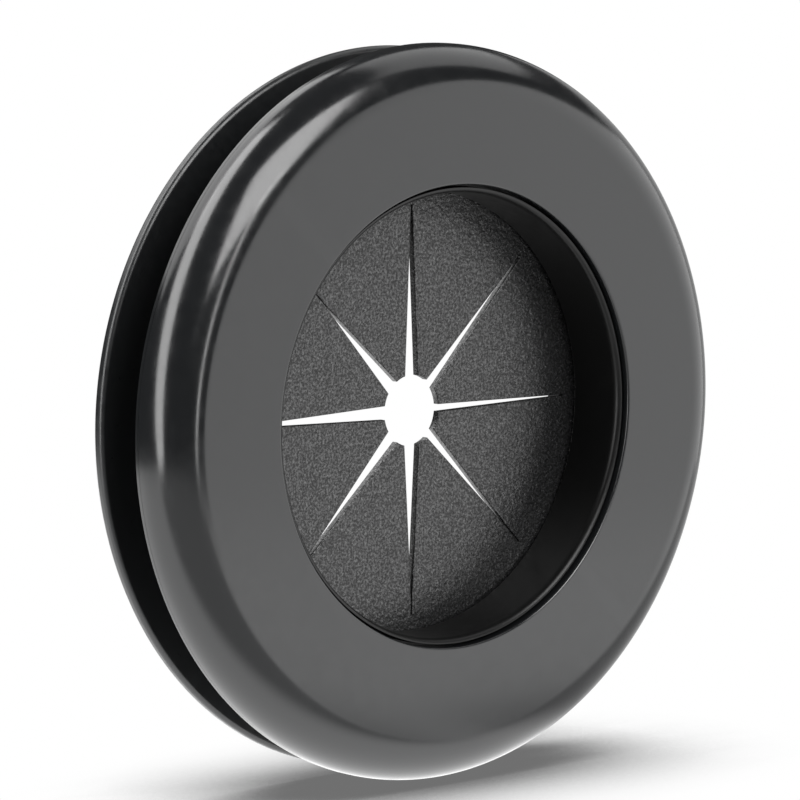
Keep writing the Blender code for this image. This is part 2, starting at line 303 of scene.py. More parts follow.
def joined(name: str, pieces: Sequence[Piece]) -> Piece:
    """Join shells that belong to one moulding into a new object, and drop them.

    Args:
        name: The new object's name.
        pieces: The shells.

    Returns:
        The new object.
    """
    shell = bmesh.new()
    for piece in pieces:
        shell.from_mesh(piece.data)
    mesh = bpy.data.meshes.new(name)
    shell.to_mesh(mesh)
    shell.free()
    for piece in pieces:
        bpy.data.objects.remove(piece, do_unlink=True)
    return link(bpy.data.objects.new(name, mesh))


def combined(obj: Piece, others: Sequence[Piece], operation: str) -> Piece:
    """Unite a solid with others, or cut them from it, and drop them.

    Args:
        obj: The solid.
        others: The solids to add or to cut away.
        operation: "UNION" or "DIFFERENCE".

    Returns:
        The same object with its new mesh.
    """
    for other in others:
        change = obj.modifiers.new(other.name, "BOOLEAN")
        change.operation = operation
        change.solver = "EXACT"
        change.object = other
    baked(obj)
    for other in others:
        bpy.data.objects.remove(other, do_unlink=True)
    return obj


# ---------------------------------------------------------------------------------------------
# Node trees
# ---------------------------------------------------------------------------------------------


def fill_inputs(tree: Tree, node: Node, inputs: dict[str | int, object]) -> None:
    """Give a node's inputs their values and links.

    Args:
        tree: The node tree.
        node: The node.
        inputs: What each input gets, by socket name or number: a plain value, an output socket, or
            a node that stands for its first output.
    """
    for key, given in inputs.items():
        if isinstance(given, Node):
            given = given.outputs[0]
        if isinstance(given, Socket):
            tree.links.new(given, node.inputs[key])
        else:
            node.inputs[key].default_value = given


def add_node(
    tree: Tree,
    kind: str,
    settings: dict[str, object] | None = None,
    inputs: dict[str | int, object] | None = None,
) -> Node:
    """Add a node to a tree.

    Args:
        tree: The node tree.
        kind: The node's type name.
        settings: The node's own properties.
        inputs: What its inputs get, as fill_inputs takes it.

    Returns:
        The new node.
    """
    node = tree.nodes.new(kind)
    for key, value in (settings or {}).items():
        setattr(node, key, value)
    fill_inputs(tree, node, inputs or {})
    return node


def new_geometry_tree(name: str, sizes: dict[str, str]) -> tuple[Tree, Sockets]:
    """A Geometry Nodes tree that takes a geometry, some sizes and a material.

    Args:
        name: The tree's name.
        sizes: "Int" or "Float" for the name of each size.

    Returns:
        The tree, and its inputs' sockets by name.
    """
    tree = bpy.data.node_groups.new(name, "GeometryNodeTree")
    kinds = {"Geometry": "Geometry", **sizes, "Material": "Material"}
    for label, kind in kinds.items():
        tree.interface.new_socket(label, in_out="INPUT", socket_type="NodeSocket" + kind)
    tree.interface.new_socket("Geometry", in_out="OUTPUT", socket_type="NodeSocketGeometry")
    given = tree.nodes.new("NodeGroupInput")
    return tree, {label: given.outputs[label] for label in kinds}


def shifted(tree: Tree, given: Sockets, rise: Node) -> Node:
    """Move a tree's geometry along the grommet's axis.

    Args:
        tree: The tree.
        given: Its inputs' sockets.
        rise: The node that gives how far each point moves rearwards, in metres.

    Returns:
        The node that gives the moved geometry.
    """
    offset = add_node(tree, "ShaderNodeCombineXYZ", inputs={"Y": rise})
    return add_node(
        tree, "GeometryNodeSetPosition", inputs={"Geometry": given["Geometry"], "Offset": offset}
    )


def ended(tree: Tree, given: Sockets, shape: Node) -> Tree:
    """End a tree in real geometry that wears the given material.

    Args:
        tree: The tree.
        given: Its inputs' sockets.
        shape: The node that gives its finished shape.

    Returns:
        The same tree.
    """
    real = add_node(tree, "GeometryNodeRealizeInstances", inputs={0: shape})
    dressed = add_node(
        tree, "GeometryNodeSetMaterial", inputs={"Geometry": real, "Material": given["Material"]}
    )
    add_node(tree, "NodeGroupOutput", inputs={0: dressed})
    return tree


def run_tree(obj: Piece, tree: Tree, values: dict[str, object]) -> Piece:
    """Run a Geometry Nodes tree on an object and keep its result as a plain mesh.

    Args:
        obj: The object that gives the tree its geometry.
        tree: The tree.
        values: Value of each named input.

    Returns:
        The same object with its new mesh.
    """
    modifier = obj.modifiers.new(tree.name, "NODES")
    modifier.node_group = tree
    for item in tree.interface.items_tree:
        if item.item_type == "SOCKET" and item.in_out == "INPUT" and item.name in values:
            modifier[item.identifier] = values[item.name]
    return baked(obj)


def round_the_axis(piece: Piece, copies: Tree, count: int, first_angle: float, material: Finish) -> Piece:
    """Repeat a piece evenly round the grommet's axis.

    Args:
        piece: The piece, on the +X side of the axis.
        copies: The tree that repeats it.
        count: Number of copies.
        first_angle: Angle of the first copy, in radians.
        material: The finish of the copies.

    Returns:
        The same object with all the copies as its mesh.
    """
    values = {"Count": count, "First Angle": first_angle, "Material": material}
    return run_tree(piece, copies, values)


def ring_of_copies_tree() -> Tree:
    """A tree that repeats its geometry evenly round the grommet's axis."""
    tree, given = new_geometry_tree("ring_of_copies", {"Count": "Int", "First Angle": "Float"})
    points = add_node(tree, "GeometryNodePoints", inputs={"Count": given["Count"]})
    index = add_node(tree, "GeometryNodeInputIndex")
    step = add_node(tree, "ShaderNodeMath", {"operation": "DIVIDE"}, {0: 2.0 * pi, 1: given["Count"]})
    turn = add_node(
        tree,
        "ShaderNodeMath",
        {"operation": "MULTIPLY_ADD"},
        {0: index, 1: step, 2: given["First Angle"]},
    )
    back = add_node(tree, "ShaderNodeMath", {"operation": "MULTIPLY"}, {0: turn, 1: -1.0})
    euler = add_node(tree, "ShaderNodeCombineXYZ", inputs={"Y": back})
    rotation = add_node(tree, "FunctionNodeEulerToRotation", inputs={0: euler})
    copies = add_node(
        tree,
        "GeometryNodeInstanceOnPoints",
        inputs={"Points": points, "Instance": given["Geometry"], "Rotation": rotation},
    )
    return ended(tree, given, copies)


def spark_grain_tree() -> Tree:
    """A tree that raises a spark-eroded grain along the axis, as deep as the point attribute says.

    The attribute is signed: negative grain stands forwards and positive grain rearwards.
    """
    tree, given = new_geometry_tree(
        "spark_grain", {"Grain Size": "Float", "Depth": "Float", "Seed": "Float"}
    )
    place = add_node(tree, "GeometryNodeInputPosition")
    scale = add_node(tree, "ShaderNodeMath", {"operation": "DIVIDE"}, {0: 1.0, 1: given["Grain Size"]})
    noise = add_node(
        tree,
        "ShaderNodeTexNoise",
        {"noise_dimensions": "4D"},
        {
            "Vector": place,
            "Scale": scale,
            "W": given["Seed"],
            "Detail": 1.5,
            "Roughness": 0.6,
            "Distortion": 0.4,
        },
    )
    spread = add_node(
        tree,
        "ShaderNodeMapRange",
        {"interpolation_type": "SMOOTHSTEP"},
        {"Value": noise, "From Min": 0.35, "From Max": 0.65},
    )
    rise = add_node(tree, "GeometryNodeInputNamedAttribute", {"data_type": "FLOAT"}, {"Name": "grain"})
    for factor in (spread, given["Depth"]):
        rise = add_node(tree, "ShaderNodeMath", {"operation": "MULTIPLY"}, {0: rise, 1: factor})
    return ended(tree, given, shifted(tree, given, rise))


def finger_flutes_tree() -> Tree:
    """A tree that sinks a ring of capsule-shaped finger flutes into a flat rear face."""
    lengths = ("Middle Radius", "Half Length", "Half Width", "Depth", "Rear Face")
    tree, given = new_geometry_tree("finger_flutes", {"Count": "Int", **dict.fromkeys(lengths, "Float")})
    place = add_node(tree, "GeometryNodeInputPosition")
    parts = add_node(tree, "ShaderNodeSeparateXYZ", inputs={0: place})
    found = {**given, "x": parts.outputs[0], "y": parts.outputs[1], "z": parts.outputs[2]}
    # Each row is a name, an operation, and its terms: earlier names or plain numbers.
    for label, operation, *terms in (
        ("x squared", "MULTIPLY", "x", "x"),
        ("z squared", "MULTIPLY", "z", "z"),
        ("radius squared", "ADD", "x squared", "z squared"),
        ("radius", "SQRT", "radius squared"),
        ("pitch", "DIVIDE", 2.0 * pi, "Count"),
        ("angle", "ARCTAN2", "z", "x"),
        ("flutes round", "DIVIDE", "angle", "pitch"),
        ("share of pitch", "FRACT", "flutes round"),
        ("aside", "SUBTRACT", "share of pitch", 0.5),
        ("angle aside", "MULTIPLY", "aside", "pitch"),
        ("across", "MULTIPLY", "angle aside", "radius"),
        ("outwards", "SUBTRACT", "radius", "Middle Radius"),
        ("along", "ABSOLUTE", "outwards"),
        ("past the end", "SUBTRACT", "along", "Half Length"),
        ("beyond", "MAXIMUM", "past the end", 0.0),
        ("across squared", "MULTIPLY", "across", "across"),
        ("beyond squared", "MULTIPLY", "beyond", "beyond"),
        ("distance squared", "ADD", "across squared", "beyond squared"),
        ("distance", "SQRT", "distance squared"),
        ("half widths", "DIVIDE", "distance", "Half Width"),
        ("just inside", "SUBTRACT", "Rear Face", 0.02 * MM),
        ("at rear", "GREATER_THAN", "y", "just inside"),
        ("depth there", "MULTIPLY", "Depth", "at rear"),
        ("deepest", "MULTIPLY", "depth there", -1.0),
    ):
        found[label] = add_node(
            tree,
            "ShaderNodeMath",
            {"operation": operation},
            {k: found.get(term, term) for k, term in enumerate(terms)},
        )
    hollow = add_node(
        tree,
        "ShaderNodeMapRange",
        {"interpolation_type": "SMOOTHSTEP"},
        {"Value": found["half widths"], "From Min": 1.0, "From Max": 0.35},
    )
    sink = add_node(tree, "ShaderNodeMath", {"operation": "MULTIPLY"}, {0: hollow, 1: found["deepest"]})
    return ended(tree, given, shifted(tree, given, sink))


# ---------------------------------------------------------------------------------------------
# Finishes
# ---------------------------------------------------------------------------------------------


def linear(hex_colour: str) -> tuple[float, float, float, float]:
    """Turn an sRGB hex colour into a linear one.

    Args:
        hex_colour: The colour, such as '#1c1d1f'.

    Returns:
        Linear red, green, blue and alpha.
    """
    channels = [int(hex_colour[k : k + 2], 16) / 255.0 for k in (1, 3, 5)]
    light = [c / 12.92 if c <= 0.04045 else ((c + 0.055) / 1.055) ** 2.4 for c in channels]
    return (light[0], light[1], light[2], 1.0)


class Gloss(Enum):
    """How the mould's wall was finished, as the roughness that it leaves on the plastic."""

    SATIN = 0.18
    FINE_MATT = 0.34
    MATT = 0.48


def new_material(name: str) -> tuple[Finish, Tree]:
    """Start a material that is made of nodes.

    Args:
        name: The material's name.

    Returns:
        The material and its node tree.
    """
    made = bpy.data.materials.new(name)
    made.use_nodes = True
    return made, made.node_tree


@dataclass(frozen=True)
class MouldedPlastic:
    """A black injection-moulded plastic.

    The eye gets a deep neutral black with a soft sheen, a hair-fine grain from the mould's wall,
    slow unevenness where the wall sank as it cooled, and edges that handling has rubbed a little
    paler. Sizes and depths of its patterns are in millimetres.
    """

    name: str
    colour: str
    worn_colour: str
    gloss: Gloss
    ior: float
    grain: float = 0.16
    grain_depth: float = 0.0016
    sink: float = 9.0
    sink_depth: float = 0.003
    mottle: float = 1.6
    mottle_roughness: float = 0.035
    sheen: float = 0.5

    def material(self) -> Finish:
        """Build the material's nodes.

        Returns:
            The finished material.
        """
        made, tree = new_material(self.name)
        place = add_node(tree, "ShaderNodeTexCoord").outputs["Object"]
        grain, sink, mottle = (
            add_node(
                tree,
                "ShaderNodeTexNoise",
                inputs={
                    "Vector": place,
                    "Scale": 1.0 / (size * MM),
                    "Detail": detail,
                    "Roughness": roughness,
                },
            )
            for size, detail, roughness in (
                (self.grain, 2.0, 0.55),
                (self.sink, 1.0, 0.4),
                (self.mottle, 4.0, 0.65),
            )
        )
        relief = {"Strength": 1.0, "Distance": self.sink_depth * MM, "Height": sink}
        sunk = add_node(tree, "ShaderNodeBump", inputs=relief)
        relief = {"Strength": 1.0, "Distance": self.grain_depth * MM, "Height": grain}
        grained = add_node(tree, "ShaderNodeBump", inputs={**relief, "Normal": sunk})
        # Pointiness sits just above a half on an outside edge: that is where hands rub.
        pointiness = add_node(tree, "ShaderNodeNewGeometry").outputs["Pointiness"]
        edges = add_node(
            tree,
            "ShaderNodeMapRange",
            inputs={"Value": pointiness, "From Min": 0.515, "From Max": 0.60},
        )
        rub = add_node(tree, "ShaderNodeMath", {"operation": "MULTIPLY"}, {0: edges, 1: mottle})
        colour = add_node(
            tree,
            "ShaderNodeMix",
            {"data_type": "RGBA"},
            {0: rub, 6: linear(self.colour), 7: linear(self.worn_colour)},
        )
        rough = add_node(
            tree,
            "ShaderNodeMapRange",
            inputs={
                "Value": mottle,
                "From Min": 0.3,
                "From Max": 0.7,
                "To Min": self.gloss.value - self.mottle_roughness,
                "To Max": self.gloss.value + self.mottle_roughness,
            },
        )
        fill_inputs(
            tree,
            tree.nodes["Principled BSDF"],
            {
                "IOR": self.ior,
                "Specular IOR Level": self.sheen,
                "Normal": grained,
                "Base Color": colour.outputs[2],
                "Roughness": rough,
            },
        )
        return made


@dataclass(frozen=True)
class SparkedRubber:
    """A black thermoplastic rubber from a spark-eroded mould.

    The eye gets a dull charcoal skin of tiny grains, each with its own glint, with painted light on the
    crests and painted shade in the pits. Sizes and depths of its patterns are in millimetres. Real
    spark grain is nearer a tenth of a millimetre: it is drawn coarser, so that it shows.
    """

    name: str
    colour: str
    lit_crest_colour: str
    roughness: float
    ior: float
    roughness_swing: float = 0.06
    grain: float = 0.26
    grain_depth: float = 0.05
    fine_grain: float = 0.16
    fine_depth: float = 0.02
    pit_sheen: float = 0.32
    crest_sheen: float = 1.0

    def material(self) -> Finish:
        """Build the material's nodes.

        Returns:
            The finished material.
        """
        made, tree = new_material(self.name)
        place = add_node(tree, "ShaderNodeTexCoord").outputs["Object"]
        grain, fine = (
            add_node(
                tree,
                "ShaderNodeTexNoise",
                inputs={
                    "Vector": place,
                    "Scale": 1.0 / (size * MM),
                    "Detail": 2.0,
                    "Roughness": roughness,
                },
            )
            for size, roughness in ((self.grain, 0.6), (self.fine_grain, 0.7))
        )
        relief = {"Strength": 1.0, "Distance": self.grain_depth * MM, "Height": grain}
        coarse_bump = add_node(tree, "ShaderNodeBump", inputs=relief)
        relief = {"Strength": 1.0, "Distance": self.fine_depth * MM, "Height": fine}
        fine_bump = add_node(tree, "ShaderNodeBump", inputs={**relief, "Normal": coarse_bump})
        # This mask is high on the grain's crests and low in its pits: it drives painted light on the
        # crests and painted shade in the pits.
        crest_light_mask = add_node(
            tree, "ShaderNodeMapRange", inputs={"Value": grain, "From Min": 0.42, "From Max": 0.72}
        )
        # Painted light and shade: the crests get a paler colour and the pits a darker one.
        colour = add_node(
            tree,
            "ShaderNodeMix",
            {"data_type": "RGBA"},
            {0: crest_light_mask, 6: linear(self.colour), 7: linear(self.lit_crest_colour)},
        )
        # The bottoms of the pits are hidden from the light, so they hardly mirror anything.
        sheen, rough = (
            add_node(
                tree,
                "ShaderNodeMapRange",
                inputs={"Value": crest_light_mask, "To Min": in_pits, "To Max": on_crests},
            )
            for in_pits, on_crests in (
                (self.pit_sheen, self.crest_sheen),
                (self.roughness + self.roughness_swing, self.roughness - self.roughness_swing),
            )
        )
        fill_inputs(
            tree,
            tree.nodes["Principled BSDF"],
            {
                "IOR": self.ior,
                "Normal": fine_bump,
                "Base Color": colour.outputs[2],
                "Specular IOR Level": sheen,
                "Roughness": rough,
            },
        )
        return made


@dataclass(frozen=True)
class LightTable:
    """A self-lit white table top, shaded softly where the grommet stands close over it.

    The eye gets plain white. The grommet's lower edges get a brighter glow, as from a lamp box, with
    two dark cards in it. A card fades in from the first to the second place, in millimetres, along
    X and along Y.
    """

    name: str = "self_lit_table_top"
    glow: float = 2.3
    card_share: float = 0.36
    front_left_card: tuple[Point, Point] = ((25.0, 5.0), (-11.0, -27.0))
    rear_right_card: tuple[Point, Point] = ((12.0, 30.0), (-50.0, -25.0))
    shade_reach: float = 24.0
    shade_floor: float = 0.16
    shade_full: float = 0.45
    shade_none: float = 0.97

    def material(self) -> Finish:
        """Build the material.

        Returns:
            The finished material.
        """
        made, tree = new_material(self.name)
        tree.nodes.clear()
        near = add_node(
            tree, "ShaderNodeAmbientOcclusion", {"samples": 16}, {"Distance": self.shade_reach * MM}
        )
        shade = add_node(
            tree,
            "ShaderNodeMapRange",
            {"interpolation_type": "SMOOTHSTEP"},
            {
                "Value": near.outputs["AO"],
                "From Min": self.shade_full,
                "From Max": self.shade_none,
                "To Min": self.shade_floor,
            },
        )
        place = add_node(tree, "ShaderNodeTexCoord").outputs["Object"]
        parts = add_node(tree, "ShaderNodeSeparateXYZ", inputs={0: place})
        cards = []
        for fades in (self.front_left_card, self.rear_right_card):
            across, along = (
                add_node(
                    tree,
                    "ShaderNodeMapRange",
                    {"interpolation_type": "SMOOTHSTEP"},
                    {"Value": parts.outputs[axis], "From Min": start * MM, "From Max": end * MM},
                )
                for axis, (start, end) in enumerate(fades)
            )
            cards.append(
                add_node(tree, "ShaderNodeMath", {"operation": "MULTIPLY"}, {0: across, 1: along})
            )
        on_card = add_node(tree, "ShaderNodeMath", {"operation": "MAXIMUM"}, dict(enumerate(cards)))
        glow = add_node(
            tree,
            "ShaderNodeMapRange",
            inputs={"Value": on_card, "To Min": self.glow, "To Max": self.glow * self.card_share},
        )
        path = add_node(tree, "ShaderNodeLightPath")
        strength = add_node(
            tree, "ShaderNodeMix", inputs={0: path.outputs["Is Camera Ray"], 2: glow, 3: shade}
        )
        lit = add_node(
            tree, "ShaderNodeEmission", inputs={"Color": (1.0, 1.0, 1.0, 1.0), "Strength": strength}
        )
        add_node(tree, "ShaderNodeOutputMaterial", inputs={0: lit})
        return made


# The usual index of refraction is about 1.53 for ABS and nylon and 1.50 for styrenic rubber.
SATIN_ABS = MouldedPlastic("satin_moulded_abs", "#131415", "#1a1b1c", Gloss.SATIN, 1.53)
# A finer matt finish, with its colour and sheen taken below the bezel's so that the walls of the bore
# read dark: painted shade.
MATT_ABS_WITH_BORE_SHADE = MouldedPlastic(
    "fine_matt_abs_with_painted_bore_shade", "#090909", "#101011", Gloss.FINE_MATT, 1.53, sheen=0.22
)
RING_ABS = MouldedPlastic(
    "mottled_moulded_abs",
    "#131415",
    "#1c1d1f",
    Gloss.FINE_MATT,
    1.53,
    mottle=0.9,
    mottle_roughness=0.07,
)
MATT_NYLON = MouldedPlastic(
    "matt_moulded_nylon", "#121213", "#1b1b1c", Gloss.MATT, 1.53, grain=0.22, grain_depth=0.003
)
MEMBRANE_RUBBER = SparkedRubber("spark_textured_rubber", "#080808", "#202021", 0.29, 1.54)


# ---------------------------------------------------------------------------------------------
# The grommet's pieces
# ---------------------------------------------------------------------------------------------


def millimetres(node: str) -> tuple[Vector, Vector]:
    """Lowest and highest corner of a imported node, in millimetres."""
    low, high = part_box(node)
    return low / MM, high / MM


def finished(obj: Piece, material: Finish) -> Piece:
    """Dress a piece in one material.

    Args:
        obj: The piece.
        material: Its finish.

    Returns:
        The same object.
    """
    obj.data.materials.clear()
    obj.data.materials.append(material)
    obj.data.polygons.foreach_set("material_index", [0] * len(obj.data.polygons))
    return obj


def report(obj: Piece) -> None:
    """Log a finished piece with its number of triangles."""
    obj.data.calc_loop_triangles()
    LOG.info("%s: %d triangles", obj.name, len(obj.data.loop_triangles))


@dataclass
class FrontBezel:
    """Front trim ring: flat satin face, large rounded edge, cored and ribbed underneath."""

    bore: float = 25.0
    edge_round: float = 5.0
    face_wall: float = 2.0
    outer_wall: float = 2.0
    core_inner: float = 35.5
    core_depth: float = 2.2
    snap_lip: float = 33.9
    snap_undercut: float = 34.5
    undercut_depth: float = 0.6
    parting_line: float = 0.05
    parting_depth: float = -0.6
    steps: int = 320
    rib_count: int = 24
    rib_half_width: float = 0.4
    rib_setback: float = 0.4
    rib_rooting: float = 0.1
    rib_ease: float = 0.12

    def corners(self) -> list[Corner]:
        """Corners of the turned section, along the face first."""
        low, high = millimetres("front_bezel")
        rim, face = high.x, low.y
        plate = face + self.face_wall
        core_outer = rim - self.outer_wall
        land, seam = self.parting_depth, self.parting_line
        return [
            Corner(self.bore, face, 0.25),
            Corner(rim, face, self.edge_round),
            Corner(rim, land + 0.02),
            Corner(rim - seam, land + seam),
            Corner(rim - 0.01, land + 2.0 * seam),
            Corner(rim, land + 2.2 * seam),
            Corner(rim, 0.0, 0.12),
            Corner(core_outer, 0.0, 0.12),
            Corner(core_outer, -self.core_depth, 0.3),
            Corner(self.core_inner, -self.core_depth, 0.3),
            Corner(self.core_inner, 0.0, 0.12),
            Corner(self.snap_lip, 0.0, 0.15),
            Corner(self.snap_lip, -self.undercut_depth, 0.1),
            Corner(self.snap_undercut, -self.undercut_depth, 0.1),
            Corner(self.snap_undercut, plate, 0.2),
            Corner(self.bore, plate, 0.15),
        ]

    def build(self, copies: Tree, material: Finish) -> Piece:
        """Build the bezel with the ribs in its coring groove.

        Args:
            copies: The tree that repeats a block round the axis.
            material: The bezel's finish.

        Returns:
            The finished piece.
        """
        high = millimetres("front_bezel")[1]
        shell = turned("bezel_shell", eased_profile(self.corners()), self.steps)
        rib = block(
            "bezel_rib",
            self.core_inner - self.rib_rooting,
            high.x - self.outer_wall + self.rib_rooting,
            -self.core_depth - self.rib_rooting,
            -self.rib_setback,
            self.rib_half_width,
            self.rib_ease,
        )
        ribs = round_the_axis(rib, copies, self.rib_count, 0.0, material)
        bezel = finished(joined("bezel_moulding", [shell, ribs]), material)
        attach(bezel, "housing")
        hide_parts("front_bezel")
        return bezel


@dataclass
class Barrel:
    """Barrel through the panel: lip, throat, neck, locking lugs and turn stops."""

    throat: float = 24.05
    lip_wall: float = 0.65
    lip_round: float = 0.9
    lip_steps: int = 14
    collar_top: float = -3.3
    collar: float = 26.2
    pocket: float = 27.9
    pocket_floor: float = 1.0
    flange_top: float = -1.7
    bead_rear: float = -0.9
    flange: float = 33.6
    neck: float = 29.7
    neck_end: float = 6.0
    seat: float = 28.2
    rebate: float = 26.6
    snap_groove: float = 27.0
    groove_front: float = 5.6
    groove_rear: float = 7.0
    ledge: float = 2.1
    lug_front: float = 8.0
    lug_rear: float = 9.0
    lug_half_angle: float = radians(11.0)
    lug_ease: float = 0.18
    lug_count: int = 4
    stop_reach: float = 29.3
    stop_rear: float = 7.7
    stop_half_angle: float = radians(3.0)
    stop_angle: float = radians(-15.0)
    stop_ease: float = 0.15
    stop_count: int = 2
    pin_count: int = 8
    pin_size: float = 1.1
    pin_proud: float = 0.04
    steps: int = 288

    def corners(self) -> list[Corner]:
        """Corners of the turned section, from the throat over the lip and down the outside."""
        low, high = millimetres("barrel")
        lip_top, end, bead = low.y, high.y, high.x
        lip = self.throat + self.lip_wall
        rounding = []
        for k in range(self.lip_steps):
            angle = pi - (pi / 2.0) * k / self.lip_steps
            rise = self.lip_round * (1.0 - sin(angle))
            rounding.append(Corner(lip + self.lip_wall * cos(angle), lip_top + rise))
        return [
            Corner(self.throat, lip_top + self.lip_round + 0.15),
            *rounding,
            Corner(lip, lip_top, 0.05),
            Corner(lip, self.collar_top, 0.1),
            Corner(self.collar, self.collar_top, 0.2),
            Corner(self.collar, self.pocket_floor, 0.25),
            Corner(self.pocket, self.pocket_floor, 0.25),
            Corner(self.pocket, self.flange_top, 0.2),
            Corner(bead, self.flange_top, 0.25),
            Corner(bead, self.bead_rear, 0.15),
            Corner(self.flange, self.bead_rear, 0.1),
            Corner(self.flange, 0.0, 0.15),
            Corner(self.neck, 0.0, 0.2),
            Corner(self.neck, self.neck_end, 0.2),
            Corner(self.seat, self.neck_end, 0.1),
            Corner(self.seat, end, 0.2),
            Corner(self.rebate, end, 0.25),
            Corner(self.rebate, self.groove_rear, 0.06),
            Corner(self.snap_groove, self.groove_rear, 0.06),
            Corner(self.snap_groove, self.groove_front, 0.06),
            Corner(self.rebate, self.groove_front, 0.06),
            Corner(self.rebate, self.ledge, 0.1),
            Corner(self.throat, self.ledge, 0.12),
        ]

    def build(self, copies: Tree, material: Finish) -> Piece:
        """Build the barrel with its lugs, stops and pin marks.

        Args:
            copies: The tree that repeats a block round the axis.
            material: The barrel's finish.

        Returns:
            The finished piece.
        """
        high = millimetres("barrel")[1]
        shell = turned("barrel_shell", eased_profile(self.corners()), self.steps)
        root = self.seat - 0.5
        lug_half_width = self.lug_half_angle * self.neck
        lug = block("lug", root, self.neck, self.lug_front, self.lug_rear, lug_half_width, self.lug_ease)
        stop_front, stop_half_width = self.neck_end - 0.4, self.stop_half_angle * self.stop_reach
        stop = block(
            "stop",
            root,
            self.stop_reach,
            stop_front,
            self.stop_rear,
            stop_half_width,
            self.stop_ease,
        )
        wall_middle = (self.rebate + self.seat) / 2.0
        pin = pad("pin_mark", wall_middle, high.y, self.pin_size, self.pin_proud)
        lugs = round_the_axis(lug, copies, self.lug_count, pi / 4.0, material)
        stops = round_the_axis(stop, copies, self.stop_count, self.stop_angle, material)
        pins = round_the_axis(pin, copies, self.pin_count, pi / 8.0, material)
        combined(shell, (lugs, stops), "UNION")
        barrel = finished(joined("barrel_moulding", [shell, pins]), material)
        barrel.data.set_sharp_from_angle(angle=SHARP_EDGE)
        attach(barrel, "housing")
        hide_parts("barrel")
        return barrel


@dataclass(frozen=True)
class Slit:
    """One slit of the star: its direction, its width at the hub, and where its taper runs out.

    Beyond the taper it is a plain knife cut.
    """

    angle: float
    hub_width: float
    taper_end: float
    cut_width: float = 0.08

    def half_width(self, distance: np.ndarray | float, hub: float) -> np.ndarray:
        """Half its width at a distance from the axis.

        Args:
            distance: Distance from the axis, in millimetres.
            hub: The hub hole's radius.

        Returns:
            Half the width, in millimetres.
        """
        tapered = self.hub_width * (self.taper_end - distance) / (self.taper_end - hub)
        return np.maximum(tapered, self.cut_width) / 2.0


# The knife left each slit a little different, from the right, counter-clockwise.
SLITS = (
    Slit(radians(0.0), 0.79, 25.8),
    Slit(radians(45.0), 1.42, 25.9),
    Slit(radians(90.0), 1.80, 23.8),
    Slit(radians(135.0), 1.70, 18.0),
    Slit(radians(180.0), 1.50, 27.1),
    Slit(radians(225.0), 1.75, 24.2),
    Slit(radians(270.0), 2.02, 21.5),
    Slit(radians(315.0), 1.20, 21.0),
)


